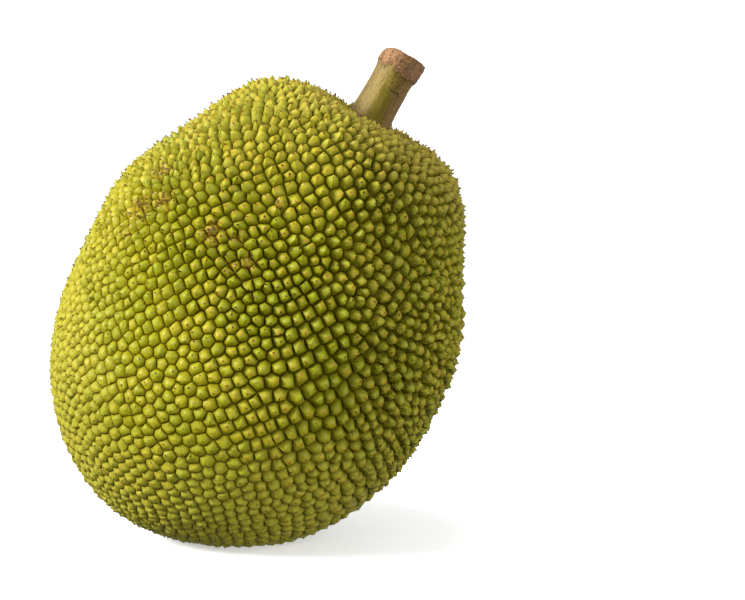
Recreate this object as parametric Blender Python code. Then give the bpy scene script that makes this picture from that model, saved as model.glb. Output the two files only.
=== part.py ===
"""A whole jackfruit with its cut stalk, leaning on a small flat spot near its blossom end.

Metres, +Z up. The origin is the middle of the flat spot, on the worn tip of one tubercle.
Two pieces: the fruit, whose rind is raised all over in pointed tubercles, and the stalk,
whose root stands in a plain socket at the top of the fruit.
"""

import math

import bmesh
import bpy
import numpy as np
from mathutils import Vector

MM = 0.001
GAP = 0.3 * MM

# The fruit's own frame: its centre is the origin and +Z points at the stalk.
# Distance from the centre to the tubercle tips, every 20 degrees round the side view,
# from the stalk down the right flank to the blossom end and back up the left flank.
OUTLINE = np.array([143.5, 153, 139, 130.3, 128, 129.3, 134, 140, 144,
                    149.7, 146.7, 136.8, 126.3, 118.8, 121.4, 127, 139.1, 152]) * MM
SLIMMER_THROUGH = 0.03  # the fruit is this share slimmer from front to back
BACK_SHOULDER = 4 * MM  # the back is fuller by the stalk, the front by the blossom end
LUMP = 1.2 * MM  # height of the broad swellings that the fruit's segments raise
DIMPLE_DEPTH = 2.5 * MM  # the stalk stands in a small dimple
DIMPLE_WIDTH = math.radians(11)
LEAN = math.radians(29.5)  # from upright, towards +X
FRUIT_CENTRE = Vector((9.7, 0.8, 138.3)) * MM  # from the flat spot, which wears the lowest tips off

# Tubercles. The spacing is from tip to tip.
BELLY_SPACING = 12.8 * MM
STALK_END_SPACING = 9.2 * MM
BLOSSOM_END_SPACING = 10.4 * MM
HEIGHT_SHARE = 0.46  # of the spacing
HEIGHT_SPREAD = 0.12  # the lowest tubercles fall short of the outline by this share
JITTER = 0.1  # of the spacing
SEED = 20
GOLDEN_ANGLE = math.pi * (3 - math.sqrt(5))
CELL_AREA = math.sqrt(3) / 2  # of a close-packed cell, in squared spacings

# Stalk, in the fruit's frame. Heights are from the seat that it stands on.
SEAT_HEIGHT = 135 * MM  # above the fruit's centre
STALK_ASIDE = -0.5 * MM  # the stalk stands this far off the fruit's axis
COLLAR_RADIUS = 16.5 * MM
ROOT_RADIUS = 12.4 * MM
ROOT_DEPTH = 15 * MM
SHAFT_RADIUS = 12.5 * MM
NODE_RADIUS = 14.2 * MM
STALK_LENGTH = 52 * MM
STALK_PROFILE = (  # (height, radius)
    (-ROOT_DEPTH, ROOT_RADIUS - 1 * MM),
    (-ROOT_DEPTH + 1.5 * MM, ROOT_RADIUS),
    (0, ROOT_RADIUS),
    (0, COLLAR_RADIUS),
    (2 * MM, COLLAR_RADIUS - 0.6 * MM),
    (5 * MM, SHAFT_RADIUS + 1.7 * MM),
    (10 * MM, SHAFT_RADIUS + 0.8 * MM),
    (18 * MM, SHAFT_RADIUS + 0.3 * MM),
    (30 * MM, SHAFT_RADIUS),
    (36 * MM, SHAFT_RADIUS + 0.5 * MM),
    (40 * MM, NODE_RADIUS - 0.4 * MM),
    (43 * MM, NODE_RADIUS),
    (48 * MM, NODE_RADIUS - 0.1 * MM),
    (STALK_LENGTH + 6 * MM, NODE_RADIUS - 0.8 * MM),
)
STALK_SIDES = 28
FLUTES = 5  # shallow ridges along the stalk
FLUTE_DEPTH = 0.02  # of the radius
CUTS = (  # (tilt towards -X, distance of the plane from the middle of the seat)
    (math.radians(-1), STALK_LENGTH),
    (math.radians(58), 38.2 * MM),
)

RIND_GREEN = (0.29, 0.27, 0.03, 1)
STALK_BROWN = (0.26, 0.18, 0.06, 1)


def material(name, colour, roughness):
    made = bpy.data.materials.new(name)
    made.use_nodes = True
    shader = made.node_tree.nodes["Principled BSDF"]
    shader.inputs["Base Color"].default_value = colour
    shader.inputs["Roughness"].default_value = roughness
    shader.inputs["Metallic"].default_value = 0
    return made


def outline_radius(angle):
    """The smooth closed curve through OUTLINE, at any angle from the stalk."""
    count = len(OUTLINE)
    waves = np.fft.rfft(OUTLINE) / count
    waves[1:count // 2] *= 2
    order = np.arange(len(waves))
    return np.real(np.exp(1j * np.multiply.outer(angle, order)) @ waves)


def body_points(directions):
    """Where rays from the fruit's centre meet the surface that the tips touch."""
    x, y, z = directions.T
    polar = np.arccos(np.clip(z, -1, 1))
    across = np.maximum(np.hypot(x, y), 1e-9)
    cosine, sine = x / across, y / across
    right, left = outline_radius(polar), outline_radius(-polar)
    radius = (right + left) / 2 + cosine * (right - left) / 2
    radius *= 1 - SLIMMER_THROUGH * (sine * across) ** 2
    radius += BACK_SHOULDER * sine * across * z
    around = np.arctan2(y, x)
    radius += LUMP * sine * across**2 * np.sin(3 * around + 5 * polar)
    radius -= DIMPLE_DEPTH * np.exp(-(polar / DIMPLE_WIDTH) ** 2)
    return directions * radius[:, None]


def unit(vectors):
    return vectors / np.linalg.norm(vectors, axis=1)[:, None]


def body_normals(directions):
    step = 1e-4
    helper = np.where(np.abs(directions[:, 2:]) < 0.9, (0.0, 0.0, 1.0), (1.0, 0.0, 0.0))
    first = unit(np.cross(helper, directions))
    second = np.cross(directions, first)
    here = body_points(directions)
    along = body_points(unit(directions + step * first)) - here
    beside = body_points(unit(directions + step * second)) - here
    return unit(np.cross(along, beside))


def spacing_at(polar):
    """Tubercles are widest round the belly and crowd towards both ends."""
    end = np.where(polar < math.pi / 2, STALK_END_SPACING, BLOSSOM_END_SPACING)
    return end + (BELLY_SPACING - end) * np.sin(polar) ** 0.8


def spiral_tips():
    """Directions of the tips: a golden-angle spiral from the stalk to the blossom end."""
    polar = np.linspace(0, math.pi, 1441)
    radius = (outline_radius(polar) + outline_radius(-polar)) / 2
    slant = np.hypot(radius, np.gradient(radius, polar))
    strip = 2 * math.pi * radius * np.sin(polar) * slant
    density = strip / (CELL_AREA * spacing_at(polar) ** 2)
    tips_above = np.concatenate([[0], np.cumsum((density[1:] + density[:-1]) / 2)])
    tips_above *= polar[1]
    index = np.arange(int(tips_above[-1])) + 0.5
    tip_polar = np.interp(index, tips_above, polar)
    around = GOLDEN_ANGLE * index
    directions = np.column_stack([np.sin(tip_polar) * np.cos(around),
                                  np.sin(tip_polar) * np.sin(around),
                                  np.cos(tip_polar)])
    reach = JITTER * spacing_at(tip_polar) / np.interp(tip_polar, polar, radius)
    shift = np.random.default_rng(SEED).normal(size=directions.shape)
    return unit(directions + shift * reach[:, None])


def cells_round(tips):
    """(corner directions, [corner indices of each tip's cell]): each tip's own patch of rind."""
    hull = bmesh.new()
    for tip in tips:
        hull.verts.new(tip)
    bmesh.ops.convex_hull(hull, input=hull.verts)
    bmesh.ops.recalc_face_normals(hull, faces=hull.faces)
    hull.verts.index_update()
    hull.faces.index_update()
    corners = np.array([face.calc_center_median() for face in hull.faces])
    cells = []
    for vert in hull.verts:
        ring = []
        loop = vert.link_loops[0]
        for _ in vert.link_loops:
            ring.append(loop.face.index)
            loop = loop.link_loop_prev.link_loop_radial_next
        cells.append(ring)
    hull.free()
    return unit(corners), cells


def evened(tips):
    """Each tip moved to the middle of its cell, so that no two crowd each other."""
    corners, cells = cells_round(tips)
    return unit(np.array([corners[cell].mean(axis=0) for cell in cells]))


def fruit_mesh():
    """The rind's closed surface: a many-sided pyramid on each cell, and bare cells under the stalk."""
    tips = evened(spiral_tips())
    corners, cells = cells_round(tips)
    rng = np.random.default_rng(SEED + 1)
    height = HEIGHT_SHARE * spacing_at(np.arccos(tips[:, 2]))
    shortfall = HEIGHT_SPREAD * rng.random(len(tips)) * height
    apexes = body_points(tips) - body_normals(tips) * shortfall[:, None]
    depth = HEIGHT_SHARE * spacing_at(np.arccos(corners[:, 2]))
    valleys = body_points(corners) - body_normals(corners) * depth[:, None]
    under_stalk = np.hypot(*(body_points(tips)[:, :2] - (STALK_ASIDE, 0)).T) < COLLAR_RADIUS
    under_stalk &= tips[:, 2] > 0
    faces = []
    for tip, cell in enumerate(cells):
        if under_stalk[tip]:
            faces.append(cell)
            continue
        apex = len(valleys) + tip
        for here, following in zip(cell, cell[1:] + cell[:1]):
            faces.append((here, following, apex))
    mesh = bpy.data.meshes.new("fruit")
    mesh.from_pydata(np.vstack([valleys, apexes]).tolist(), [], faces)
    return mesh


def wear_flat_spot(mesh):
    """Cuts the tubercles that the fruit lies on level with the surface under them."""
    up = Vector((-math.sin(LEAN), 0, math.cos(LEAN)))
    built = bmesh.new()
    built.from_mesh(mesh)
    loose = [vert for vert in built.verts if not vert.link_faces]
    bmesh.ops.delete(built, geom=loose, context="VERTS")
    bmesh.ops.recalc_face_normals(built, faces=built.faces)
    parts = built.verts[:] + built.edges[:] + built.faces[:]
    cut = bmesh.ops.bisect_plane(built, geom=parts, plane_co=-FRUIT_CENTRE.z * up,
                                 plane_no=-up, clear_outer=True)
    rim = [part for part in cut["geom_cut"] if isinstance(part, bmesh.types.BMEdge)]
    bmesh.ops.edgeloop_fill(built, edges=rim)
    bmesh.ops.recalc_face_normals(built, faces=built.faces)
    built.to_mesh(mesh)
    built.free()


def turned(profile, sides):
    """A closed solid turned about Z through (height, radius) points."""
    built = bmesh.new()
    rings = []
    for height, radius in profile:
        rings.append([
            built.verts.new((radius * math.cos(turn), radius * math.sin(turn), height))
            for turn in np.arange(sides) * 2 * math.pi / sides
        ])
    for low, high in zip(rings, rings[1:]):
        for side in range(sides):
            after = (side + 1) % sides
            built.faces.new((low[side], low[after], high[after], high[side]))
    built.faces.new(rings[0][::-1])
    built.faces.new(rings[-1])
    return built


def stalk_mesh():
    """The stalk: root, corky collar, fluted shaft and swollen node, with a corner pared off the cut."""
    built = turned(STALK_PROFILE, STALK_SIDES)
    for vert in built.verts:
        if vert.co.z <= 0:
            continue
        around = math.atan2(vert.co.y, vert.co.x)
        flute = 1 + FLUTE_DEPTH * math.cos(FLUTES * around + 0.8)
        vert.co.x *= flute
        vert.co.y *= flute
    for tilt, distance in CUTS:
        normal = Vector((-math.sin(tilt), 0, math.cos(tilt)))
        parts = built.verts[:] + built.edges[:] + built.faces[:]
        cut = bmesh.ops.bisect_plane(built, geom=parts, plane_co=distance * normal,
                                     plane_no=normal, clear_outer=True)
        rim = [part for part in cut["geom_cut"] if isinstance(part, bmesh.types.BMEdge)]
        bmesh.ops.edgeloop_fill(built, edges=rim)
    bmesh.ops.recalc_face_normals(built, faces=built.faces)
    bmesh.ops.translate(built, verts=built.verts, vec=(STALK_ASIDE, 0, SEAT_HEIGHT))
    mesh = bpy.data.meshes.new("stalk")
    built.to_mesh(mesh)
    built.free()
    return mesh


def socket_mesh():
    """What the stalk's root and collar need, with a gap all round."""
    above = 30 * MM
    built = turned((
        (-ROOT_DEPTH - GAP, ROOT_RADIUS + GAP),
        (-GAP, ROOT_RADIUS + GAP),
        (-GAP, COLLAR_RADIUS + 2 * GAP),
        (above, COLLAR_RADIUS + 2 * GAP),
    ), STALK_SIDES)
    bmesh.ops.recalc_face_normals(built, faces=built.faces)
    bmesh.ops.translate(built, verts=built.verts, vec=(STALK_ASIDE, 0, SEAT_HEIGHT))
    mesh = bpy.data.meshes.new("socket_cutter")
    built.to_mesh(mesh)
    built.free()
    return mesh


def placed(mesh, axis, look=None):
    piece = bpy.data.objects.new(mesh.name, mesh)
    bpy.context.scene.collection.objects.link(piece)
    piece.parent = axis
    if look:
        mesh.materials.append(look)
    return piece


def main():
    for old in list(bpy.data.objects):
        bpy.data.objects.remove(old)
    rind = fruit_mesh()
    wear_flat_spot(rind)
    axis = bpy.data.objects.new("fruit_axis", None)
    bpy.context.scene.collection.objects.link(axis)
    axis.rotation_euler = (0, LEAN, 0)
    axis.location = FRUIT_CENTRE

    fruit = placed(rind, axis, material("rind", RIND_GREEN, 0.55))
    stalk = placed(stalk_mesh(), axis, material("stalk", STALK_BROWN, 0.75))
    stalk.data.shade_smooth()
    stalk.data.set_sharp_from_angle(angle=math.radians(40))
    cutter = placed(socket_mesh(), axis)
    cutter.hide_render = True
    cutter.display_type = "WIRE"
    socket = fruit.modifiers.new("socket", "BOOLEAN")
    socket.operation = "DIFFERENCE"
    socket.object = cutter


main()
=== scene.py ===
# %% [markdown]
# # A whole jackfruit with its cut stalk
#
# A jackfruit's rind is a single skin pushed up into thousands of blunt, pointed bumps called tubercles.
# Each one belongs to one flower of the head that the fruit grew from, and they stand in spiral rows. The
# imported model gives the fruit's place, its box and its stalk. This script dresses it: a fine rind with
# every tubercle at its true size, the dry tip on each, and a stalk with bark and a cut end.

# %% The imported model
import math

import bpy
import numpy as np
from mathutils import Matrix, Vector, noise


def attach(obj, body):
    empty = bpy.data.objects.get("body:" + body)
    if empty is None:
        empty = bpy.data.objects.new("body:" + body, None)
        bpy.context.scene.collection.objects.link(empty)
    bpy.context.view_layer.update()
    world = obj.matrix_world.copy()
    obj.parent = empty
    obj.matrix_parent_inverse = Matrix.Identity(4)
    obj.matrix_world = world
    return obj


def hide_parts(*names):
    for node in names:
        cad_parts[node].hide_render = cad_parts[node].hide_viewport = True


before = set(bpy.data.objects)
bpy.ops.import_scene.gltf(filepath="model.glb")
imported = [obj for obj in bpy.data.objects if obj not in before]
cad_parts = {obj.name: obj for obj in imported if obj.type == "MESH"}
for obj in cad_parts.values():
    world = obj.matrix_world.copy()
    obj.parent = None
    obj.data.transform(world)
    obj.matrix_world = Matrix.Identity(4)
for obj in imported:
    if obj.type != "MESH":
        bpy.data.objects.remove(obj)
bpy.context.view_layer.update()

# %% [markdown]
# ## The shape that everything sits on
#
# The fruit is nearly egg-shaped, but flatter over the stalk and fuller on one flank. It could be sculpted
# by hand, but then the bumps, the tips and the stalk would each need fitting to it. A formula is simpler to
# reuse: a closed curve gives the distance from the fruit's centre to the tubercle tips every 20 degrees
# round the side view, and the surface swings smoothly from one flank's value to the other's.

# %% The fruit's own measures, in millimetres
MM = 0.001
OUTLINE = np.array([143.5, 153, 139, 130.3, 128, 129.3, 134, 140, 144,
                    149.7, 146.7, 136.8, 126.3, 118.8, 121.4, 127, 139.1, 152]) * MM
SLIMMER_THROUGH = 0.03
BACK_SHOULDER = 4 * MM
LUMP = 1.2 * MM
DIMPLE_DEPTH = 2.5 * MM
DIMPLE_WIDTH = math.radians(11)
LEAN = math.radians(29.5)
FRUIT_CENTRE = np.array([9.7, 0.8, 138.3]) * MM
STALK_ASIDE = -0.5 * MM


def unit(vectors):
    return vectors / np.linalg.norm(vectors, axis=1)[:, None]


def outline_radius(angle):
    """The smooth closed curve through OUTLINE, at any angle from the stalk."""
    count = len(OUTLINE)
    waves = np.fft.rfft(OUTLINE) / count
    waves[1:count // 2] *= 2
    return np.real(np.exp(1j * np.multiply.outer(angle, np.arange(len(waves)))) @ waves)


def body_points(directions):
    """Where rays from the fruit's centre meet the surface that the tips touch."""
    x, y, z = directions.T
    polar = np.arccos(np.clip(z, -1, 1))
    across = np.maximum(np.hypot(x, y), 1e-9)
    cosine, sine = x / across, y / across
    right, left = outline_radius(polar), outline_radius(-polar)
    radius = (right + left) / 2 + cosine * (right - left) / 2
    radius *= 1 - SLIMMER_THROUGH * (sine * across) ** 2
    radius += BACK_SHOULDER * sine * across * z
    radius += LUMP * sine * across**2 * np.sin(3 * np.arctan2(y, x) + 5 * polar)
    radius -= DIMPLE_DEPTH * np.exp(-(polar / DIMPLE_WIDTH) ** 2)
    return directions * radius[:, None]


def body_normals(directions):
    step = 1e-4
    helper = np.where(np.abs(directions[:, 2:]) < 0.9, (0.0, 0.0, 1.0), (1.0, 0.0, 0.0))
    first = unit(np.cross(helper, directions))
    second = np.cross(directions, first)
    here = body_points(directions)
    along = body_points(unit(directions + step * first)) - here
    beside = body_points(unit(directions + step * second)) - here
    return unit(np.cross(along, beside))


def leaned(vectors):
    """From the fruit's own frame, with the stalk straight up, to the way the fruit leans."""
    x, y, z = np.asarray(vectors).T
    cosine, sine = math.cos(LEAN), math.sin(LEAN)
    return np.column_stack([x * cosine + z * sine, y, z * cosine - x * sine])


def to_world(points):
    return leaned(points) + FRUIT_CENTRE


ends = to_world(body_points(np.array([[0, 0, 1.0], [0, 0, -1.0]])))
print("stalk end at", ends[0].round(3), "blossom end at", ends[1].round(3))

# %% [markdown]
# ## The camera and the light
#
# The fruit is seen from the front and a little above, through a long lens that keeps its outline calm. A
# soft lamp at the upper left does most of the work, because the bumps only read when each has a lit and a
# shaded side. A wide, weak one from the right keeps the far flank from going black, and the sky does the
# rest. Its light fades towards straight down, as a table would keep it off the underside.

# %% Camera
CAMERA_DISTANCE = 1283 * MM
CAMERA_LIFT = math.radians(6)
LENS = 100  # millimetres, as camera settings are
AIM_ASIDE = 71 * MM
AIM_ABOVE = 11.4 * MM


def look_at(thing, place, target):
    thing.location = place
    thing.rotation_euler = (Vector(target) - Vector(place)).to_track_quat("-Z", "Y").to_euler()
    bpy.context.scene.collection.objects.link(thing)


target = FRUIT_CENTRE + (AIM_ASIDE, 0, AIM_ABOVE)
camera = bpy.data.objects.new("camera", bpy.data.cameras.new("camera"))
camera.data.lens = LENS
back_and_up = np.array([0, -math.cos(CAMERA_LIFT), math.sin(CAMERA_LIFT)])
look_at(camera, target + CAMERA_DISTANCE * back_and_up, target)
bpy.context.scene.camera = camera
bpy.context.scene.view_settings.view_transform = "Standard"
print("camera at", [round(v, 3) for v in camera.location])

# %% Lights
SKY_STRENGTH = 0.54


def softbox(name, aside, front, up, width, watts, colour=(1, 1, 1)):
    """A square lamp that faces the fruit, placed from the fruit's centre."""
    lamp = bpy.data.lights.new(name, "AREA")
    lamp.size = width
    lamp.energy = watts
    lamp.color = colour
    look_at(bpy.data.objects.new(name, lamp), FRUIT_CENTRE + (aside, -front, up), FRUIT_CENTRE)


softbox("key", aside=-1.22, front=0.60, up=0.6, width=0.4, watts=38.5, colour=(1, 0.98, 0.94))
softbox("fill", aside=0.9, front=1.2, up=0.2, width=1.2, watts=19.5)
softbox("top", aside=-0.1, front=0.1, up=1.3, width=0.6, watts=8)
world = bpy.data.worlds.new("studio")
world.use_nodes = True
world.node_tree.nodes["Background"].inputs["Strength"].default_value = SKY_STRENGTH
bpy.context.scene.world = world

# %% [markdown]
# ## Writing nodes as sums
#
# Both Geometry Nodes and materials are trees of nodes. Wiring them one call at a time hides the idea, so a
# small class wraps a socket and lets Python's own signs add the Math nodes. Everything else comes from one
# method.

# %% A tree that is written rather than wired
class Wire:
    """One output socket, on which sums can be written."""

    def __init__(self, tree, socket):
        self.tree, self.socket = tree, socket

    def __add__(self, other):
        return self.tree.maths("ADD", self, other)

    def __sub__(self, other):
        return self.tree.maths("SUBTRACT", self, other)

    def __rsub__(self, other):
        return self.tree.maths("SUBTRACT", other, self)

    def __mul__(self, other):
        return self.tree.maths("MULTIPLY", self, other)

    __radd__ = __add__
    __rmul__ = __mul__


class Tree:
    """A node tree whose nodes are added by one method."""

    def __init__(self, node_tree):
        self.node_tree = node_tree

    def add(self, kind, settings=None, sockets=None, out=0):
        """Adds a node and returns one of its outputs. Settings are set before sockets are filled."""
        node = self.node_tree.nodes.new(kind)
        for name, value in (settings or {}).items():
            if name == "stops":
                self.set_stops(node.color_ramp, value)
            else:
                setattr(node, name, value)
        for name, value in (sockets or {}).items():
            self.fill(self.find(node.inputs, name), value)
        return Wire(self, self.find(node.outputs, out))

    def maths(self, operation, first, second=0.0):
        return self.add("ShaderNodeMath", {"operation": operation}, {0: first, 1: second})

    def find(self, sockets, name):
        if isinstance(name, int):
            return sockets[name]
        return next(socket for socket in sockets if socket.enabled and socket.name == name)

    def fill(self, socket, value):
        if isinstance(value, Wire):
            self.node_tree.links.new(value.socket, socket)
        else:
            socket.default_value = value

    def set_stops(self, ramp, stops):
        while len(ramp.elements) < len(stops):
            ramp.elements.new(1)
        for element, (place, colour) in zip(ramp.elements, stops):
            element.position = place
            element.color = colour


def other_output(wire, name):
    """Another output of the node that a wire comes from."""
    return Wire(wire.tree, wire.tree.find(wire.socket.node.outputs, name))


print("nodes can now be written as sums")

# %% Less light from below
DARK_AT = -1.0  # heights on a sphere of directions, where -1 is straight down
FULL_LIGHT_FROM = -0.3
sky = Tree(world.node_tree)
direction = sky.add("ShaderNodeTexCoord", {}, {}, out="Generated")
upwards = sky.add("ShaderNodeSeparateXYZ", {}, {"Vector": direction}, out="Z")
brightness = sky.add("ShaderNodeMapRange", {},
                     {"Value": upwards, "From Min": DARK_AT, "From Max": FULL_LIGHT_FROM}, out="Result")
sky.fill(world.node_tree.nodes["Background"].inputs["Color"], brightness)
print("the sky's light fades from", FULL_LIGHT_FROM, "to", DARK_AT)

# %% [markdown]
# ## Where the tubercles stand
#
# The bumps keep about one distance from each other, so no row runs far before another joins in. A spiral
# that turns by the golden angle at every step gives just that: it is how the flowers stood on the head. The
# step down the fruit shrinks towards both ends, where the real bumps crowd. One flank's bumps are finer
# than the other's: a conformal squeeze of the sphere of directions does this without bending any row out of
# shape. Some jitter, most of it at the ends, and a slow wander then keep the rows from looking ruled.

# %% Tip directions
BELLY_SPACING = 7.5 * MM
STALK_END_SPACING = 5.2 * MM
BLOSSOM_END_SPACING = 7.0 * MM
SPACING_GROWTH = 0.6
JITTER = 0.09
JITTER_AT_ENDS = 0.12
WANDER = 0.05
WANDER_SCALE = 2.4
SQUEEZE = 0.15
SQUEEZE_TOWARDS = np.array([-0.5, 0.8, -0.3])
GOLDEN_ANGLE = math.pi * (3 - math.sqrt(5))
CELL_AREA = math.sqrt(3) / 2  # of a hexagon whose neighbours are 1 apart
STEPS_DOWN = 1441
NOISE_SHIFTS = (0, 17, 34)
SEED = 5


def spacing_at(polar):
    end = np.where(polar < math.pi / 2, STALK_END_SPACING, BLOSSOM_END_SPACING)
    return end + (BELLY_SPACING - end) * np.sin(polar) ** SPACING_GROWTH


def squeezed(directions):
    """Directions crowded towards one side, with every small shape kept."""
    towards = SQUEEZE_TOWARDS / np.linalg.norm(SQUEEZE_TOWARDS)
    along = directions @ towards
    aside = directions - along[:, None] * towards
    stretch = 1 + SQUEEZE * along
    moved = ((along + SQUEEZE) / stretch)[:, None] * towards
    return moved + aside * (math.sqrt(1 - SQUEEZE**2) / stretch)[:, None]


def noise_vectors(points):
    """Smooth noise in each of the three directions, each read at a place of its own."""
    shifts = [Vector((0, 0, shift)) for shift in NOISE_SHIFTS]
    return np.array([[noise.noise(Vector(point) + shift) for shift in shifts] for point in points])


def spiral_tips():
    """The directions of the tubercles' tips from the fruit's centre."""
    polar = np.linspace(0, math.pi, STEPS_DOWN)
    radius = (outline_radius(polar) + outline_radius(-polar)) / 2
    slant = np.hypot(radius, np.gradient(radius, polar))
    strip = 2 * math.pi * radius * np.sin(polar) * slant
    density = strip / (CELL_AREA * spacing_at(polar) ** 2)
    tips_above = np.concatenate([[0], np.cumsum((density[1:] + density[:-1]) / 2)]) * polar[1]
    index = np.arange(int(tips_above[-1])) + 0.5
    tip_polar = np.interp(index, tips_above, polar)
    around = GOLDEN_ANGLE * index
    directions = np.column_stack([np.sin(tip_polar) * np.cos(around), np.sin(tip_polar) * np.sin(around),
                                  np.cos(tip_polar)])
    reach = JITTER + JITTER_AT_ENDS * np.cos(tip_polar) ** 2
    reach *= spacing_at(tip_polar) / np.interp(tip_polar, polar, radius)
    shift = np.random.default_rng(SEED).normal(size=directions.shape) * reach[:, None]
    wander = noise_vectors(directions * WANDER_SCALE)
    return squeezed(unit(directions + shift + WANDER * wander))


tips = spiral_tips()
print(len(tips), "tubercles")

# %% [markdown]
# ## From points to a rind
#
# Each tubercle owns the patch of rind that is nearer to its tip than to any other. Geometry Nodes finds
# these patches without a formula: the convex hull of points on a sphere joins each point to its neighbours,
# and its dual mesh swaps points for faces. Three extrusions then raise every face: a steep wall, a shoulder
# and a small blunt top. They leave the tree as numbers called "rise", and the body's formula turns those
# into heights afterwards, so that the tree stays free of the fruit's own shape.

# %% Help for building and running a geometry tree
def new_geometry_tree(name, inputs):
    """A tree with named inputs, and the wires that come from them."""
    group = bpy.data.node_groups.new(name, "GeometryNodeTree")
    group.interface.new_socket("Geometry", in_out="INPUT", socket_type="NodeSocketGeometry")
    for title, kind in inputs.items():
        group.interface.new_socket(title, in_out="INPUT", socket_type=kind)
    group.interface.new_socket("Geometry", in_out="OUTPUT", socket_type="NodeSocketGeometry")
    tree = Tree(group)
    source = tree.add("NodeGroupInput")
    return tree, {title: other_output(source, title) for title in ["Geometry", *inputs]}


def end_tree(tree, geometry, material):
    realized = tree.add("GeometryNodeRealizeInstances", {}, {"Geometry": geometry})
    dressed = tree.add("GeometryNodeSetMaterial", {}, {"Geometry": realized, "Material": material})
    end = tree.node_tree.nodes.new("NodeGroupOutput")
    tree.fill(end.inputs["Geometry"], dressed)


def run_tree(name, mesh, tree, values):
    """Runs a tree on a mesh and returns the result as a plain mesh."""
    holder = bpy.data.objects.new(name, mesh)
    bpy.context.scene.collection.objects.link(holder)
    modifier = holder.modifiers.new(name, "NODES")
    modifier.node_group = tree.node_tree
    for item in tree.node_tree.interface.items_tree:
        if item.in_out == "INPUT" and item.name in values:
            modifier[item.identifier] = values[item.name]
    graph = bpy.context.evaluated_depsgraph_get()
    made = bpy.data.meshes.new_from_object(holder.evaluated_get(graph), preserve_all_data_layers=True,
                                           depsgraph=graph)
    bpy.data.objects.remove(holder)
    made.name = name
    return made


def stored(tree, geometry, name, value, selection=True, domain="POINT"):
    return tree.add("GeometryNodeStoreNamedAttribute", {"domain": domain, "data_type": "FLOAT"},
                    {"Geometry": geometry, "Selection": selection, "Name": name, "Value": value})


def points_mesh(name, points):
    mesh = bpy.data.meshes.new(name)
    mesh.from_pydata(np.asarray(points).tolist(), [], [])
    return mesh


def places_of(mesh):
    """The places of the vertices as an array."""
    found = np.empty(len(mesh.vertices) * 3)
    mesh.vertices.foreach_get("co", found)
    return found.reshape(-1, 3)


def numbers_of(mesh, name):
    """An attribute that holds one number each, as an array."""
    found = np.empty(len(mesh.attributes[name].data))
    mesh.attributes[name].data.foreach_get("value", found)
    return found


print("ready to grow a rind")

# %% The rind tree
RINGS = {"Wall": (0.81, 0.46), "Crown": (0.42, 0.84), "Tip": (0.0, 1.0)}  # width left and rise, as shares
EVENING_ROUNDS = 4
TOP_WANDER = 0.22
LEAN_SHARE = 0.6
SHORTEST_SEAM = 0.0125  # on a sphere of radius 1
SAME_PLACE = 1e-5


def cells_round(tree, points):
    """Each point's cell on the sphere: the places nearer to it than to any other point.

    Its corners are as far from three points at once, and on a sphere such a place lies along the
    normal of the flat triangle between them.
    """
    hull = tree.add("GeometryNodeConvexHull", {}, {"Geometry": points})
    normal = tree.add("GeometryNodeInputNormal", {}, {}, out="Normal")
    hull = tree.add("GeometryNodeStoreNamedAttribute", {"domain": "FACE", "data_type": "FLOAT_VECTOR"},
                    {"Geometry": hull, "Name": "corner", "Value": normal})
    cells = tree.add("GeometryNodeDualMesh", {}, {"Mesh": hull})
    corner = tree.add("GeometryNodeInputNamedAttribute", {"data_type": "FLOAT_VECTOR"}, {"Name": "corner"})
    return tree.add("GeometryNodeSetPosition", {}, {"Geometry": cells, "Position": corner})


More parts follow.
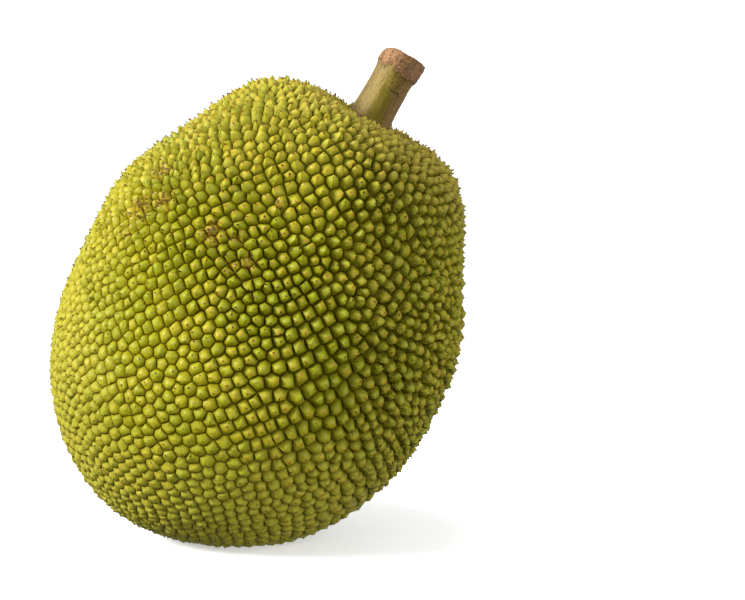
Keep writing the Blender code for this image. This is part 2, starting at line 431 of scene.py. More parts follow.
def rind_tree():
    sizes = {"Evening Rounds": "NodeSocketInt", "Seed": "NodeSocketInt", "Top Wander": "NodeSocketFloat",
             "Shortest Seam": "NodeSocketFloat", "Material": "NodeSocketMaterial"}
    for ring in RINGS:
        sizes[f"{ring} Width"] = "NodeSocketFloat"
        sizes[f"{ring} Rise"] = "NodeSocketFloat"
    tree, given = new_geometry_tree("rind from tips", sizes)

    # Evening out: each round moves every point to the middle of its own cell.
    start = tree.node_tree.nodes.new("GeometryNodeRepeatInput")
    stop = tree.node_tree.nodes.new("GeometryNodeRepeatOutput")
    start.pair_with_output(stop)
    tree.fill(start.inputs["Iterations"], given["Evening Rounds"])
    tree.fill(start.inputs["Geometry"], given["Geometry"])
    cells = cells_round(tree, Wire(tree, start.outputs["Geometry"]))
    middles = tree.add("GeometryNodeMeshToPoints", {"mode": "FACES"}, {"Mesh": cells})
    place = tree.add("GeometryNodeInputPosition")
    outwards = tree.add("ShaderNodeVectorMath", {"operation": "NORMALIZE"}, {0: place})
    tree.fill(stop.inputs["Geometry"], tree.add("GeometryNodeSetPosition", {},
                                                {"Geometry": middles, "Position": outwards}))

    # One face for each tubercle, with a number of its own. Very short seams are closed up.
    mesh = cells_round(tree, Wire(tree, stop.outputs["Geometry"]))
    mesh = tree.add("GeometryNodeMergeByDistance", {}, {"Geometry": mesh, "Distance": given["Shortest Seam"]})
    chance = tree.add("FunctionNodeRandomValue", {"data_type": "FLOAT"}, {"Seed": given["Seed"]}, out="Value")
    mesh = stored(tree, mesh, "chance", chance, domain="FACE")
    wander = tree.add("FunctionNodeRandomValue", {"data_type": "FLOAT_VECTOR"},
                      {"Min": (-1, -1, -1), "Max": (1, 1, 1), "Seed": given["Seed"]}, out="Value")
    size = tree.add("ShaderNodeMath", {"operation": "SQRT"}, {0: tree.add("GeometryNodeInputMeshFaceArea")})
    reach = tree.add("ShaderNodeVectorMath", {"operation": "SCALE"},
                     {0: wander, "Scale": size * given["Top Wander"]})
    mesh = tree.add("GeometryNodeStoreNamedAttribute", {"domain": "FACE", "data_type": "FLOAT_VECTOR"},
                    {"Geometry": mesh, "Name": "lean", "Value": reach})
    lean = tree.add("GeometryNodeInputNamedAttribute", {"data_type": "FLOAT_VECTOR"}, {"Name": "lean"})

    # Rings in from the edge of each face. The last one closes to a point.
    top = True
    width_before = 1.0
    for ring in RINGS:
        mesh = tree.add("GeometryNodeExtrudeMesh", {"mode": "FACES"},
                        {"Mesh": mesh, "Selection": top, "Offset Scale": 0.0, "Individual": True})
        top = other_output(mesh, "Top")
        share = tree.maths("DIVIDE", given[f"{ring} Width"], width_before)
        width_before = given[f"{ring} Width"]
        mesh = tree.add("GeometryNodeScaleElements", {"domain": "FACE"},
                        {"Geometry": mesh, "Selection": top, "Scale": share})
        shift = tree.add("ShaderNodeVectorMath", {"operation": "SCALE"},
                         {0: lean, "Scale": given[f"{ring} Rise"] * LEAN_SHARE})
        mesh = tree.add("GeometryNodeSetPosition", {},
                        {"Geometry": mesh, "Selection": top, "Offset": shift})
        mesh = stored(tree, mesh, "rise", given[f"{ring} Rise"], top)
    mesh = tree.add("GeometryNodeMergeByDistance", {},
                    {"Geometry": mesh, "Selection": top, "Distance": SAME_PLACE})
    end_tree(tree, mesh, given["Material"])
    return tree


rind_material = bpy.data.materials.new("rind")
values = {"Evening Rounds": EVENING_ROUNDS, "Seed": SEED, "Top Wander": TOP_WANDER,
          "Shortest Seam": SHORTEST_SEAM, "Material": rind_material}
for ring, (width, rise) in RINGS.items():
    values[f"{ring} Width"] = width
    values[f"{ring} Rise"] = rise
rind_mesh = run_tree("rind", points_mesh("tips", tips), rind_tree(), values)
print("rind:", len(rind_mesh.vertices), "vertices,", len(rind_mesh.polygons), "faces")

# %% [markdown]
# ## Bending the rind onto the fruit
#
# Every vertex still lies near a sphere, in the direction that it will have from the fruit's centre. Its
# height comes from three things: where the body's surface is in that direction, how tall tubercles are
# there, and the vertex's rise. Tubercles lie low and flat on the left and below and stand up towards the top
# right. The higher they are on the fruit, the more they narrow like cones, and no two are quite as tall. What
# would sink below the table is pressed flat on it, as the tips are where a heavy fruit lies.

# %% Heights
LOW_RELIEF = 0.44  # heights are shares of the spacing
HIGH_RELIEF = 0.95
TALL_TOWARDS = np.array([0.64, 0.0, 0.77])
LOW_UP_TO = -0.6
TALL_FROM = 0.5
CONICAL_BELOW = 0.15
CONICAL_ON_TOP = 0.88
CONICAL_BETWEEN = (0.15, 0.9)
HEIGHT_SPREAD = 0.32
HEIGHT_SPREAD_TALL = 0.34
WOBBLE = 0.0035  # radians
WOBBLE_SCALE = 90
UNEVENNESS = 0.14
SHARPEST_BEND = math.radians(60)
TIP_INSET = 0.6 * MM
STALK_CLEARING = 13.2 * MM
CLEARING_DEPTH = 1.5 * MM
WORN_BELOW = 1.5 * MM


def local_spacing(directions):
    """Tip to tip distance on the finished rind, with the squeeze."""
    towards = SQUEEZE_TOWARDS / np.linalg.norm(SQUEEZE_TOWARDS)
    stretch = (1 - SQUEEZE * (directions @ towards)) / math.sqrt(1 - SQUEEZE**2)
    return spacing_at(np.arccos(np.clip(directions[:, 2], -1, 1))) * stretch


def sharpness_at(directions):
    """0 where tubercles are low and flat, as on the left and below, and 1 where they stand up."""
    share = np.clip((leaned(directions) @ TALL_TOWARDS - LOW_UP_TO) / (TALL_FROM - LOW_UP_TO), 0, 1)
    return share * share * (3 - 2 * share)


def more_conical(rise, share):
    """Draws each ring's rise part of the way to that of a straight cone."""
    rises = [0.0] + [rise for _, rise in RINGS.values()]
    straight = [0.0] + [1 - width for width, _ in RINGS.values()]
    return rise + share * (np.interp(rise, rises, straight) - rise)


def vertex_numbers_from_faces(mesh, name):
    """The value of each vertex's own tubercle. Vertices in the seams take any neighbour's."""
    per_face = numbers_of(mesh, name)
    face_of_corner = np.repeat(np.arange(len(mesh.polygons)), [len(p.vertices) for p in mesh.polygons])
    corner_vertex = np.empty(len(mesh.loops), int)
    mesh.loops.foreach_get("vertex_index", corner_vertex)
    per_vertex = np.empty(len(mesh.vertices))
    per_vertex[corner_vertex] = per_face[face_of_corner]
    return per_vertex


def bend_onto_body(mesh):
    """Moves the vertices, and returns the places of the tips and the way that each one points."""
    directions = unit(places_of(mesh))
    wobble = noise_vectors(directions * WOBBLE_SCALE)
    directions = unit(directions + WOBBLE * wobble)
    rise = numbers_of(mesh, "rise")
    chance = vertex_numbers_from_faces(mesh, "chance")
    surface = body_points(directions)
    from_stalk = np.hypot(surface[:, 0] - STALK_ASIDE, surface[:, 1])
    beside_stalk = (from_stalk < STALK_CLEARING) & (directions[:, 2] > 0)
    rise[beside_stalk] = 0
    sharpness = sharpness_at(directions)
    height = (LOW_RELIEF + (HIGH_RELIEF - LOW_RELIEF) * sharpness) * local_spacing(directions)
    spread = HEIGHT_SPREAD + (HEIGHT_SPREAD_TALL - HEIGHT_SPREAD) * sharpness
    conical = np.interp(leaned(directions)[:, 2], CONICAL_BETWEEN, (CONICAL_BELOW, CONICAL_ON_TOP))
    lift = more_conical(rise, conical) * (1 - spread * chance)
    lift *= 1 + UNEVENNESS * wobble[:, 0] * (rise < 1)
    depth = TIP_INSET + height * (1 - lift)
    depth[beside_stalk] += CLEARING_DEPTH
    outwards = body_normals(directions)
    placed = to_world(surface - outwards * depth[:, None])
    placed[:, 2] = np.maximum(placed[:, 2], 0)
    mesh.vertices.foreach_set("co", placed.ravel())
    mesh.attributes["rise"].data.foreach_set("value", rise)
    mesh.update()
    at_tip = (rise == 1) & (placed[:, 2] > WORN_BELOW)
    return placed[at_tip], leaned(outwards[at_tip])


def shade_rind(mesh):
    """Shades tubercles smooth, with a crease where they meet their neighbours and at the sharpest bends."""
    mesh.polygons.foreach_set("use_smooth", np.ones(len(mesh.polygons), bool))
    mesh.set_sharp_from_angle(angle=SHARPEST_BEND)
    sharp = np.empty(len(mesh.edges), bool)
    mesh.attributes["sharp_edge"].data.foreach_get("value", sharp)
    ends = np.empty(len(mesh.edges) * 2, int)
    mesh.edges.foreach_get("vertices", ends)
    in_seam = numbers_of(mesh, "rise")[ends.reshape(-1, 2)].max(axis=1) == 0
    mesh.attributes["sharp_edge"].data.foreach_set("value", sharp | in_seam)


tip_places, tip_outwards = bend_onto_body(rind_mesh)
shade_rind(rind_mesh)
rind = bpy.data.objects.new("rind", rind_mesh)
bpy.context.scene.collection.objects.link(rind)
low, high = np.array(rind.bound_box).min(0), np.array(rind.bound_box).max(0)
print("rind box", low.round(4), high.round(4))
print("rind triangles", sum(len(face.vertices) - 2 for face in rind_mesh.polygons))

# %% [markdown]
# ## Dry tips
#
# Every tubercle was once a flower, and what is left of its style stands on the tip as a small dark nub. A
# few thousand nubs are one more job for instances: a five-sided cone is placed on each tip, turned outwards
# and given its own size. A quarter of the nubs have dropped off.

# %% Nubs
NUB_RADIUS = 0.80 * MM
NUB_HEIGHT = 1.05 * MM
NUB_SUNK = 0.42 * MM
NUB_SIDES = 5
NUBS_KEPT = 0.75
SMALLEST_NUB = 0.45  # as a share of the largest


def nub_tree():
    tree, given = new_geometry_tree("nubs on tips", {
        "Radius": "NodeSocketFloat", "Height": "NodeSocketFloat", "Sunk": "NodeSocketFloat",
        "Sides": "NodeSocketInt", "Share Kept": "NodeSocketFloat", "Smallest": "NodeSocketFloat",
        "Seed": "NodeSocketInt", "Material": "NodeSocketMaterial"})
    cone = tree.add("GeometryNodeMeshCone", {"fill_type": "NONE"},
                    {"Vertices": given["Sides"], "Radius Top": 0.0, "Radius Bottom": given["Radius"],
                     "Depth": given["Height"]}, out="Mesh")
    lowered = tree.add("ShaderNodeCombineXYZ", {}, {"Z": 0.0 - given["Sunk"]})
    cone = tree.add("GeometryNodeTransform", {}, {"Geometry": cone, "Translation": lowered})
    outwards = tree.add("GeometryNodeInputNamedAttribute", {"data_type": "FLOAT_VECTOR"},
                        {"Name": "outwards"})
    turn = tree.add("FunctionNodeAlignRotationToVector", {"axis": "Z"}, {"Vector": outwards})
    kept = tree.add("FunctionNodeRandomValue", {"data_type": "BOOLEAN"},
                    {"Probability": given["Share Kept"], "Seed": given["Seed"]}, out="Value")
    size = tree.add("FunctionNodeRandomValue", {"data_type": "FLOAT"},
                    {"Min": given["Smallest"], "Max": 1.0, "Seed": given["Seed"]}, out="Value")
    nubs = tree.add("GeometryNodeInstanceOnPoints", {},
                    {"Points": given["Geometry"], "Selection": kept, "Instance": cone, "Rotation": turn,
                     "Scale": size})
    end_tree(tree, nubs, given["Material"])
    return tree


tip_points = points_mesh("tip points", tip_places)
facing = tip_points.attributes.new("outwards", "FLOAT_VECTOR", "POINT")
facing.data.foreach_set("vector", tip_outwards.ravel())
nub_material = bpy.data.materials.new("dry tips")
nub_mesh = run_tree("tubercle_tips", tip_points, nub_tree(), {
    "Radius": NUB_RADIUS, "Height": NUB_HEIGHT, "Sunk": NUB_SUNK, "Sides": NUB_SIDES, "Share Kept": NUBS_KEPT,
    "Smallest": SMALLEST_NUB, "Seed": SEED, "Material": nub_material})
nubs = bpy.data.objects.new("tubercle_tips", nub_mesh)
bpy.context.scene.collection.objects.link(nubs)
print("nubs:", len(nub_mesh.polygons), "faces")

# %% [markdown]
# ## The rind's finish
#
# Ripe rind is a dull yellow-green: yellower over the tops of the bumps, olive down their walls and dark in
# the seams, where the dark is partly the rind's own colour and partly painted shade in the crevices. The tips
# dry to orange-brown. All of that follows the "rise" and "chance" numbers that each tubercle carries, so the
# pattern stays glued to the bumps. Where the bump is on the fruit decides the rest: painted light makes the
# top and left, where the lamp falls, paler and yellower, painted bounce light makes the underside paler,
# painted shade darkens the walls away from the lamp, the right flank is crumbly with painted shade low on
# each bump and painted light on its top, the shoulder has dried to tan, and a few blemishes are scarred and
# specked. Each is a share from 0 to 1 that mixes one colour into another.

# %% Rind material
def new_material(name, old=None):
    """A material, its tree and its shader. An old one may already be on a mesh."""
    made = old or bpy.data.materials.new(name)
    made.use_nodes = True
    tree = Tree(made.node_tree)
    shader = made.node_tree.nodes["Principled BSDF"]
    return made, tree, shader


def mix(tree, share, first, second):
    return tree.add("ShaderNodeMix", {"data_type": "RGBA"},
                    {"Factor": share, "A": first, "B": second}, out="Result")


def attribute(tree, name):
    return tree.add("ShaderNodeAttribute", {"attribute_name": name}, {}, out="Fac")


def place_on_object(tree):
    return tree.add("ShaderNodeTexCoord", {}, {}, out="Object")


def clouds(tree, place, scale, detail=3.0, roughness=0.55):
    return tree.add("ShaderNodeTexNoise", {"noise_dimensions": "3D"},
                    {"Vector": place, "Scale": scale, "Detail": detail, "Roughness": roughness}, out="Fac")


def steps(tree, value, low, high):
    """0 below low, 1 above high, and a smooth slope between."""
    return tree.add("ShaderNodeMapRange", {"interpolation_type": "SMOOTHSTEP"},
                    {"Value": value, "From Min": low, "From Max": high}, out="Result")


# Each blemish has a direction from the fruit's centre and a half-width on a sphere of radius 1.
BLEMISHES = (((-0.54, -0.57, 0.62), 0.10), ((-0.43, -0.63, 0.65), 0.06), ((-0.18, -0.84, 0.52), 0.07),
             ((-0.05, -0.87, 0.49), 0.035), ((0.15, -0.77, 0.63), 0.03), ((0.01, -0.93, 0.38), 0.05),
             ((-0.07, -0.93, 0.36), 0.04), ((-0.44, -0.45, 0.77), 0.06), ((-0.62, -0.61, 0.49), 0.035),
             ((0.35, 0.85, 0.40), 0.08))
# The seam colours are partly the rind's own and partly painted shade in the crevices.
SEAM_BROWN = (0.060, 0.050, 0.0005, 1)
SEAM_TAN = (0.050, 0.036, 0.0005, 1)
# The olive of the walls is painted shade away from the lamp.
WALL_OLIVE_PAINTED_SHADE = (0.145, 0.137, 0.001, 1)
WALL_YELLOW = (0.24, 0.215, 0.001, 1)
TOP_GREEN = (0.235, 0.260, 0.002, 1)
TOP_YELLOW = (0.395, 0.345, 0.012, 1)
TIP_ORANGE = (0.33, 0.165, 0.004, 1)
DRY_TAN = (0.34, 0.235, 0.04, 1)
# The straw colour is painted light.
PAINTED_LIGHT_STRAW = (0.385, 0.35, 0.048, 1)
DULL_OLIVE = (0.17, 0.150, 0.010, 1)
BLEMISH_TAN = (0.36, 0.25, 0.02, 1)
SPECK_BROWN = (0.07, 0.035, 0.008, 1)
NUB_DARK = (0.050, 0.028, 0.003, 1)
NUB_TAN = (0.19, 0.095, 0.008, 1)

# %% Rind regions
# Heights, or distances to one side, between which each part of the fruit's skin begins.
# Painted light over the top and left, where the lamp falls.
PAINTED_LIGHT_ABOVE = (210 * MM, 280 * MM)
PAINTED_LIGHT_LEFT_OF = (50 * MM, 110 * MM)
SHADED_RIGHT_OF = (10 * MM, 70 * MM)
ROUGH_RIGHT_OF = (45 * MM, 100 * MM)
# Painted bounce light on the underside.
PAINTED_BOUNCE_UP_TO = (35 * MM, 95 * MM)
TAN_FROM = (245 * MM, 290 * MM)
TAN_TOWARDS = (0.62, 0.72)


def mark_blemishes(mesh):
    """Gives every vertex a number that is 1 in the middle of a blemish and fades out over its half-width."""
    directions = unit(places_of(mesh) - FRUIT_CENTRE)
    share = np.zeros(len(directions))
    for towards, width in BLEMISHES:
        distance = np.linalg.norm(directions - np.array(towards) / np.linalg.norm(towards), axis=1)
        share = np.maximum(share, np.exp(-(distance / width) ** 2))
    mesh.attributes.new("blemish", "FLOAT", "POINT").data.foreach_set("value", share)


def rind_regions(tree, place):
    """Shares for painted light on the top and left, painted shade away from the lamp, painted bounce light
    below, and how rough and tan the skin is.
    """
    aside = tree.add("ShaderNodeSeparateXYZ", {}, {"Vector": place}, out="X")
    above = other_output(aside, "Z")
    painted_light_left = steps(tree, 0.0 - aside, *PAINTED_LIGHT_LEFT_OF)
    painted_light = tree.maths("MAXIMUM", steps(tree, above, *PAINTED_LIGHT_ABOVE), painted_light_left)
    shaded = steps(tree, aside + above * 0.35, *SHADED_RIGHT_OF)
    painted_bounce_light = 1.0 - steps(tree, above, *PAINTED_BOUNCE_UP_TO)
    rough = steps(tree, aside, *ROUGH_RIGHT_OF)
    shoulder = aside * TAN_TOWARDS[0] + above * TAN_TOWARDS[1]
    tan = steps(tree, shoulder + clouds(tree, place, 60.0) * 0.08, *TAN_FROM)
    return painted_light, shaded, painted_bounce_light, rough, tan


def fresh_skin(tree, place, rise, chance, painted_light, shaded, painted_bounce_light):
    """Green to yellow on the tops, olive down the walls and darker away from the lamp as painted shade, and
    dark in the seams, partly the rind's own colour and partly painted shade. Painted light makes the top,
    left and underside paler.
    """
    patches = steps(tree, clouds(tree, place, 14.0), 0.38, 0.64)
    # Yellower where light is painted on the top and left.
    ripeness_and_painted_light = steps(tree, patches * 0.45 + chance * 0.4 + painted_light * 0.3, 0.15, 0.95)
    top = mix(tree, ripeness_and_painted_light, TOP_GREEN, TOP_YELLOW)
    # Painted shade: the walls turn darker olive away from the lamp.
    wall = mix(tree, shaded, WALL_YELLOW, WALL_OLIVE_PAINTED_SHADE)
    skin = mix(tree, steps(tree, rise, 0.35, 0.9), wall, top)
    # Painted light: paler on the underside as bounce light from the floor, and paler on the top and left
    # where the lamp falls.
    skin = mix(tree, painted_bounce_light * 0.4, skin, PAINTED_LIGHT_STRAW)
    skin = mix(tree, painted_light * 0.4, skin, PAINTED_LIGHT_STRAW)
    # Dark in the seams: partly the rind's own colour and partly painted shade in the crevices.
    seam_and_painted_shade = mix(tree, shaded, SEAM_TAN, SEAM_BROWN)
    # Painted bounce light makes the seams paler on the underside.
    seam_and_painted_shade = mix(tree, painted_bounce_light * 0.45, seam_and_painted_shade, WALL_YELLOW)
    skin = mix(tree, steps(tree, rise, 0.0, 0.38), seam_and_painted_shade, skin)
    mottling = steps(tree, clouds(tree, place, 420.0, 4.0, 0.7), 0.46, 0.62)
    return mix(tree, mottling * 0.35, skin, DULL_OLIVE)


def weathered_skin(tree, place, skin, rise, chance, shaded, rough, tan):
    """Crumbly on the right flank, with painted shade low on each bump and painted light on its top, tan by
    the shoulder, dry at the tips, and scarred in the blemishes.
    """
    crumbs = clouds(tree, place, 260.0, 5.0, 0.75)
    tops = steps(tree, rise, 0.5, 0.95)
    # Crumbly noise on the right flank: painted shade low on each bump and painted light over its top.
    skin = mix(tree, steps(tree, crumbs, 0.44, 0.54) * (1.0 - tops) * rough * 0.75, skin, SEAM_BROWN)
    skin = mix(tree, steps(tree, 1.0 - crumbs, 0.42, 0.54) * tops * rough * 0.65, skin, PAINTED_LIGHT_STRAW)
    skin = mix(tree, tan * steps(tree, rise, 0.2, 0.8) * 0.55, skin, DRY_TAN)
    dry = steps(tree, rise, 0.82, 1.0) * steps(tree, chance, 0.2, 0.7) * (shaded * 0.7 + 0.3) * (1.0 - tan)
    skin = mix(tree, dry * 0.85, skin, TIP_ORANGE)
    blemish = attribute(tree, "blemish")
    scars = steps(tree, clouds(tree, place, 320.0, 5.0, 0.65) + blemish * 0.26, 0.62, 0.70)
    skin = mix(tree, scars * 0.75, skin, BLEMISH_TAN)
    specks = steps(tree, clouds(tree, place, 430.0, 3.0) + blemish * 0.20, 0.67, 0.71)
    return mix(tree, specks * 0.8, skin, SPECK_BROWN)


def dress_rind():
    _, tree, shader = new_material("rind", rind_material)
    rise, chance = attribute(tree, "rise"), attribute(tree, "chance")
    place = place_on_object(tree)
    painted_light, shaded, painted_bounce_light, rough, tan = rind_regions(tree, place)
    skin = fresh_skin(tree, place, rise, chance, painted_light, shaded, painted_bounce_light)
    skin = weathered_skin(tree, place, skin, rise, chance, shaded, rough, tan)
    tree.fill(shader.inputs["Base Color"], skin)

    # Waxy over the tops, least where the skin is rough or has painted light on the top and left, and grained
    # all over.
    tree.fill(shader.inputs["Roughness"], 0.38 + clouds(tree, place, 300.0) * 0.25)
    shader.inputs["Specular IOR Level"].default_value = 0.1
    wax = steps(tree, rise, 0.4, 0.9) * (0.33 - rough * 0.18 - painted_light * 0.16)
    tree.fill(shader.inputs["Coat Weight"], wax)
    shader.inputs["Coat Roughness"].default_value = 0.38
    grain = clouds(tree, place, 330.0, 4.0, 0.6) * (1.0 + rough * 1.2)
    bump = tree.add("ShaderNodeBump", {}, {"Height": grain, "Strength": 0.8, "Distance": 2.2 * MM})
    tree.fill(shader.inputs["Normal"], bump)


def dress_nubs():
    _, tree, shader = new_material("dry tips", nub_material)
    place = place_on_object(tree)
    brown = mix(tree, steps(tree, clouds(tree, place, 120.0, 2.0), 0.4, 0.6), NUB_DARK, NUB_TAN)
    tree.fill(shader.inputs["Base Color"], brown)
    shader.inputs["Roughness"].default_value = 0.8
    shader.inputs["Specular IOR Level"].default_value = 0.15


mark_blemishes(rind_mesh)
dress_rind()
dress_nubs()
print("rind dressed")

# %% [markdown]
# ## The stalk
#
# The stalk is a woody stem as thick as a thumb. Its bark is smooth and streaked with green low down and
# turns corky and reddish by the old leaf scar at the top, which stands out on one side. The cut fell a
# little to the right, and its left corner was pared off. It is turned from a profile, then every vertex is
# moved by noise.

# %% Stalk measures
SEAT_HEIGHT = 135 * MM
SHAFT_RADIUS = 12.4 * MM
FOOT_FLARE = 3.2 * MM
FLARE_REACH = 7 * MM
NODE_SWELLING = 1.2 * MM
SCAR_BULGE = 0.7 * MM
STALK_LENGTH = 51.7 * MM
BURIED = 4 * MM
CORNERS = ((-1, 5 * MM, 7.6 * MM, 6.2 * MM), (1, 6 * MM, 8 * MM, 2.4 * MM))  # side, start, width, depth
NODE_FROM = 39 * MM
NODE_TO = 70 * MM
NODE_EASE = 1.5 * MM
FLUTING = 0.25 * MM
SCAR_LOW = 41.2 * MM
SCAR_DROP = 2.8 * MM
SCAR_RAGGED = 2.2 * MM
SCAR_WIDTH = 1.3 * MM
SCAR_LIP = 0.4 * MM
CORK_EASE = 0.5 * MM
CRACK_HEIGHT = 28.6 * MM
CRACK_SLOPE = -2.5 * MM
CRACK_WIDTH = 0.5 * MM
CRACK_DEPTH = 0.4 * MM
STALK_SIDES = 160
STALK_RINGS = 150


def cut_height(x):
    """Height of the cut over the seat, at a distance to the right of the stalk's middle.

    It is level, but both corners are pared: each from some distance out, over some width, by some depth.
    """
    height = np.full_like(x, STALK_LENGTH)
    for side, start, width, depth in CORNERS:
        height -= depth * (np.maximum(side * x - start, 0) / width) ** 2.5
    return height


def bump_between(value, low, high, soft):
    """1 between low and high, falling to 0 over a soft edge."""
    return 1 / (1 + np.exp(-(value - low) / soft)) * 1 / (1 + np.exp((value - high) / soft))


def noise_at(points, scale, seed=0.0):
    return np.array([noise.fractal(Vector(p * scale) + Vector((seed, 0, 0)), 1.0, 2.0, 4) for p in points])


def stalk_radius(height, around):
    """Radius at heights over the seat and angles from the right."""
    facing_right = 0.5 + 0.5 * np.cos(around)
    node = bump_between(height, NODE_FROM, NODE_TO, NODE_EASE)
    return (SHAFT_RADIUS + FOOT_FLARE * np.exp(-np.maximum(height, 0) / FLARE_REACH)
            + node * (NODE_SWELLING + SCAR_BULGE * facing_right) + FLUTING * np.cos(5 * around + 0.8))


def turned_grid(rings, sides):
    """Faces of a tube of rings."""
    faces = []
    for ring in range(rings - 1):
        for side in range(sides):
            after = (side + 1) % sides
            faces.append((ring * sides + side, ring * sides + after,
                          (ring + 1) * sides + after, (ring + 1) * sides + side))
    return faces


def in_fruit_frame(x, y, height):
    return to_world(np.column_stack([x + STALK_ASIDE, y, height + SEAT_HEIGHT]))


def stalk_bark_mesh():
    """The bark, and its rim at the cut. It carries the numbers that its material needs."""
    around = np.tile(np.arange(STALK_SIDES) * 2 * math.pi / STALK_SIDES, STALK_RINGS)
    share = np.repeat(np.linspace(0, 1, STALK_RINGS), STALK_SIDES)
    rim = cut_height(SHAFT_RADIUS * np.cos(around))
    height = -BURIED + share * (rim + BURIED)
    radius = stalk_radius(height, around)
    side = np.cos(around)
    spots = np.column_stack([side * SHAFT_RADIUS, np.sin(around) * SHAFT_RADIUS, height])
    ragged = noise_at(spots * (1, 1, 0.4), 300, 5.0)

    # The scar's torn lower edge, the cork above it, a short crack further down, and painted shadow under the
    # scar's lip.
    above_scar = height - (SCAR_LOW - SCAR_DROP * (0.5 + 0.5 * side) + SCAR_RAGGED * ragged)
    ring = np.exp(-((above_scar - SCAR_WIDTH / 2) / SCAR_WIDTH) ** 2)
    corky = bump_between(above_scar, 0, 1, CORK_EASE)
    crack_line = CRACK_HEIGHT + CRACK_SLOPE * (side - 0.1) + 1.2 * MM * ragged
    crack = np.exp(-((height - crack_line) / CRACK_WIDTH) ** 2) * bump_between(side, 0.12, 0.72, 0.03)
    crack *= np.sin(around) < 0
    # Painted shadow under the scar's lip, kept with the crack.
    crack = np.maximum(crack, 0.45 * np.exp(-((above_scar + CRACK_WIDTH) / CRACK_WIDTH) ** 2))

    radius += noise_at(spots * (1, 1, 0.2), 330) * 0.25 * MM
    radius += noise_at(spots, 620, 7.0) * (0.10 + 0.3 * corky + 0.4 * ring) * MM
    radius += SCAR_LIP * ring - CRACK_DEPTH * crack
    height = height + noise_at(spots, 400, 3.0) * 0.5 * MM * share
    mesh = bpy.data.meshes.new("stalk_bark")
    mesh.from_pydata(in_fruit_frame(radius * np.cos(around), radius * np.sin(around), height).tolist(), [],
                     turned_grid(STALK_RINGS, STALK_SIDES))
    numbers = {"along": height, "side": side, "corky": corky, "ring": ring, "crack": crack,
               "to_rim": rim - height}
    for name, value in numbers.items():
        mesh.attributes.new(name, "FLOAT", "POINT").data.foreach_set("value", value)
    fibre = spots * (1, 1, 0.1)
    mesh.attributes.new("fibre", "FLOAT_VECTOR", "POINT").data.foreach_set("vector", fibre.ravel())
    return mesh, radius[-STALK_SIDES:], around[-STALK_SIDES:], height[-STALK_SIDES:]


bark_mesh, rim_radius, rim_around, rim_height = stalk_bark_mesh()
bark_mesh.shade_smooth()
stalk_bark = bpy.data.objects.new("stalk_bark", bark_mesh)
bpy.context.scene.collection.objects.link(stalk_bark)
print("bark:", len(bark_mesh.polygons), "faces")

# %% The cut end
def stalk_cut_mesh():
    """The cut face in rings, from the bark's rim to the middle."""
    shares = [1, 0.985, 0.95, 0.9, 0.84, 0.78, 0.7, 0.62, 0.53, 0.44, 0.35, 0.26, 0.17, 0.09]
    rows = []
    for share in shares:
        radius = rim_radius * share
        x, y = radius * np.cos(rim_around), radius * np.sin(rim_around)
        flat = cut_height(x)
        spots = np.column_stack([x, y, flat])
        rough = noise_at(spots, 500, 2.0) * 0.35 * MM + noise_at(spots, 150, 9.0) * 0.6 * MM
        height = share**8 * rim_height + (1 - share**8) * (flat + rough)
        rows.append(in_fruit_frame(x, y, height))
    points = np.vstack(rows)
    middle = in_fruit_frame(np.zeros(1), np.zeros(1), np.array([STALK_LENGTH]))
    faces = turned_grid(len(shares), STALK_SIDES)
    last = (len(shares) - 1) * STALK_SIDES
    faces += [(last + side, last + (side + 1) % STALK_SIDES, len(points)) for side in range(STALK_SIDES)]
    mesh = bpy.data.meshes.new("stalk_cut")
    mesh.from_pydata(np.vstack([points, middle]).tolist(), [], faces)
    radial = np.concatenate([np.repeat(shares, STALK_SIDES), [0]])
    mesh.attributes.new("radial", "FLOAT", "POINT").data.foreach_set("value", radial)
    return mesh


cut_mesh = stalk_cut_mesh()
cut_mesh.shade_smooth()
stalk_cut = bpy.data.objects.new("stalk_cut", cut_mesh)
bpy.context.scene.collection.objects.link(stalk_cut)
print("cut end:", len(cut_mesh.polygons), "faces")

# %% Stalk materials
# Painted light and shade round the stalk, from its left side at 0 to its right side at 1: lightest on the lit
# left, darkest through the shaded middle, with a painted highlight along the right edge.
BARK_PAINTED_LIGHT_ROUND = [(0.06, (0.20, 0.140, 0.045, 1)), (0.22, (0.28, 0.205, 0.075, 1)),
              (0.38, (0.150, 0.108, 0.011, 1)), (0.52, (0.110, 0.080, 0.004, 1)),
              (0.68, (0.120, 0.076, 0.010, 1)), (0.84, (0.140, 0.078, 0.020, 1)),
              (0.95, (0.200, 0.118, 0.042, 1))]
CORK_PAINTED_LIGHT_ROUND = [(0.06, (0.26, 0.135, 0.055, 1)), (0.22, (0.33, 0.180, 0.085, 1)),
              (0.38, (0.20, 0.098, 0.036, 1)), (0.52, (0.125, 0.058, 0.018, 1)),
              (0.68, (0.150, 0.080, 0.030, 1)), (0.84, (0.200, 0.105, 0.046, 1)),
              (0.95, (0.240, 0.125, 0.060, 1))]
BARK_GREEN = (0.115, 0.088, 0.0005, 1)
BARK_LIGHT = (0.33, 0.25, 0.06, 1)
BARK_DARK = (0.030, 0.018, 0.006, 1)
CORK_LIGHT = (0.44, 0.27, 0.16, 1)
CORK_RED = (0.20, 0.07, 0.026, 1)
CUT_TAN = (0.48, 0.28, 0.14, 1)
CUT_BROWN = (0.24, 0.12, 0.05, 1)
STREAK_ENDS = (27 * MM, 29.5 * MM)
STREAK_SLANT = 5.0
FOOT_UP_TO = (8.8 * MM, 10.6 * MM)
RIM_BAND = (0.2 * MM, 1.4 * MM)


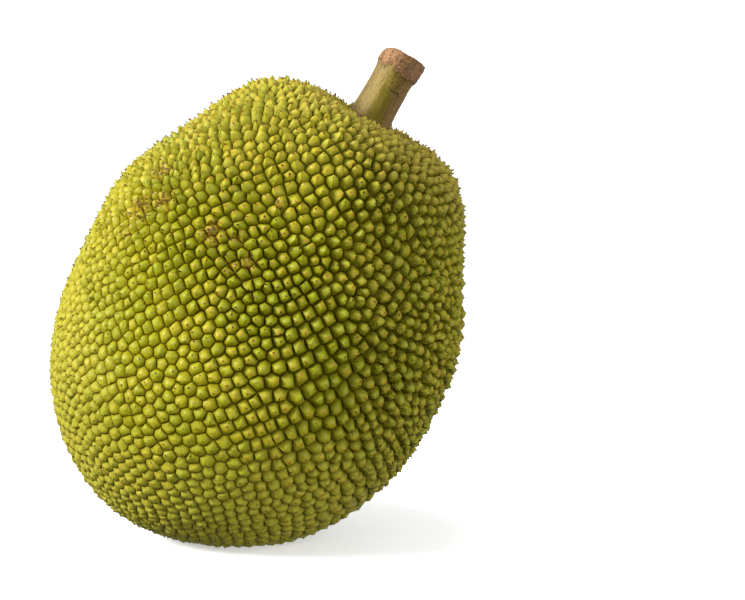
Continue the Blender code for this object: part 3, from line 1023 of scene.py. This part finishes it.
def dress_bark():
    made, tree, shader = new_material("bark")
    along, side, corky, ring, crack, to_rim = (
        attribute(tree, name) for name in ("along", "side", "corky", "ring", "crack", "to_rim"))
    fibre = tree.add("ShaderNodeAttribute", {"attribute_name": "fibre"}, {}, out="Vector")
    place = place_on_object(tree)
    fibres = clouds(tree, fibre, 800.0, 4.0, 0.6)
    drift = clouds(tree, fibre, 160.0, 2.0)
    grit = clouds(tree, place, 900.0, 3.0, 0.7)

    # Tan on the lit side and brown on the shaded side, as painted light and shade round the stalk, with a
    # green streak that runs up from the foot.
    turn = (side + drift * 0.5 - 0.25) * 0.5 + 0.5
    bark = tree.add("ShaderNodeValToRGB", {"stops": BARK_PAINTED_LIGHT_ROUND}, {"Fac": turn}, out="Color")
    lean = turn + along * STREAK_SLANT
    streak = steps(tree, lean, 0.46, 0.54) * (1.0 - steps(tree, lean, 0.78, 0.84))
    streak *= 1.0 - steps(tree, along, *STREAK_ENDS)
    bark = mix(tree, steps(tree, fibres, 0.50, 0.66) * 0.4, bark, BARK_DARK)
    bark = mix(tree, steps(tree, 1.0 - fibres, 0.54, 0.68) * 0.25, bark, BARK_LIGHT)
    bark = mix(tree, steps(tree, grit, 0.54, 0.66) * 0.55, bark, BARK_DARK)
    bark = mix(tree, steps(tree, 1.0 - grit, 0.56, 0.66) * 0.5, bark, BARK_LIGHT)
    bark = mix(tree, streak * 0.75, bark, BARK_GREEN)

    # Cork over the scar, dark in its cracks, and a dry brown foot.
    # The cork has the same painted light and shade round the stalk.
    cork = tree.add("ShaderNodeValToRGB", {"stops": CORK_PAINTED_LIGHT_ROUND}, {"Fac": turn}, out="Color")
    cork = mix(tree, ring * 0.5, cork, CORK_RED)
    torn = clouds(tree, place, 330.0, 6.0, 0.75)
    cork = mix(tree, steps(tree, torn + ring * 0.06, 0.49, 0.61) * 0.6, cork, BARK_DARK)
    flakes = steps(tree, clouds(tree, place, 700.0, 4.0, 0.7), 0.52, 0.60)
    cork = mix(tree, flakes * (0.3 + ring * 0.3), cork, CORK_LIGHT)
    bark = mix(tree, corky, bark, cork)
    # Dark in the crack, and painted shadow under the scar's lip.
    bark = mix(tree, crack * 0.85, bark, BARK_DARK)
    bark = mix(tree, (1.0 - steps(tree, to_rim, *RIM_BAND)) * 0.6, bark, CORK_RED)
    foot = 1.0 - steps(tree, along + grit * 0.006, *FOOT_UP_TO)
    bark = mix(tree, foot * 0.8, bark, mix(tree, steps(tree, grit, 0.4, 0.6), CUT_BROWN, BARK_DARK))
    tree.fill(shader.inputs["Base Color"], bark)
    shader.inputs["Roughness"].default_value = 0.7
    shader.inputs["Specular IOR Level"].default_value = 0.2
    relief = fibres * 0.6 + clouds(tree, place, 700.0, 5.0, 0.65)
    bump = tree.add("ShaderNodeBump", {}, {"Height": relief, "Strength": 0.9, "Distance": 1 * MM})
    tree.fill(shader.inputs["Normal"], bump)
    return made


def dress_cut():
    made, tree, shader = new_material("end grain")
    radial = attribute(tree, "radial")
    place = place_on_object(tree)
    grain = clouds(tree, place, 600.0, 4.0)
    wood = mix(tree, grain, CUT_BROWN, CUT_TAN)
    wood = mix(tree, steps(tree, radial, 0.86, 1.0) * 0.7, wood, CUT_BROWN)
    tree.fill(shader.inputs["Base Color"], wood)
    shader.inputs["Roughness"].default_value = 0.85
    shader.inputs["Specular IOR Level"].default_value = 0.15
    return made


bark_mesh.materials.append(dress_bark())
cut_mesh.materials.append(dress_cut())
print("stalk dressed")

# %% [markdown]
# ## The table
#
# A plain pale floor that curves up into a backdrop, so that no line crosses behind the fruit. It glows a
# little, to stay pale in any light, but the fruit neither mirrors it nor is lit by it: the sky's fade
# stands in for that.

# %% Floor
FLOOR_PALE = (0.9, 0.9, 0.9, 1)
FLOOR_GLOW = 0.45
BEND_STEPS = 12


def floor():
    reach, depth, width, rise, bend = 9.0, 2.5, 5.0, 2.5, 0.8  # metres
    profile = [(-reach, 0.0), (depth - bend, 0.0)]
    for step in range(1, BEND_STEPS + 1):
        turn = math.pi / 2 * step / BEND_STEPS
        profile.append((depth - bend + bend * math.sin(turn), bend - bend * math.cos(turn)))
    profile.append((depth, rise))
    points = [(side * width, back, up) for back, up in profile for side in (-1, 1)]
    faces = [(2 * i, 2 * i + 1, 2 * i + 3, 2 * i + 2) for i in range(len(profile) - 1)]
    mesh = bpy.data.meshes.new("floor")
    mesh.from_pydata(points, [], faces)
    mesh.shade_smooth()
    made, _, shader = new_material("floor")
    shader.inputs["Base Color"].default_value = FLOOR_PALE
    shader.inputs["Roughness"].default_value = 0.9
    shader.inputs["Emission Color"].default_value = (1, 1, 1, 1)
    shader.inputs["Emission Strength"].default_value = FLOOR_GLOW
    mesh.materials.append(made)
    piece = bpy.data.objects.new("floor", mesh)
    bpy.context.scene.collection.objects.link(piece)
    piece.visible_diffuse = False
    piece.visible_glossy = False
    return piece


print("floor:", len(floor().data.polygons), "faces")

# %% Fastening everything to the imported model
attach(rind, "root")
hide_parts("fruit")
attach(nubs, "root")
for piece in (stalk_bark, stalk_cut):
    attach(piece, "root")
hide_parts("stalk")
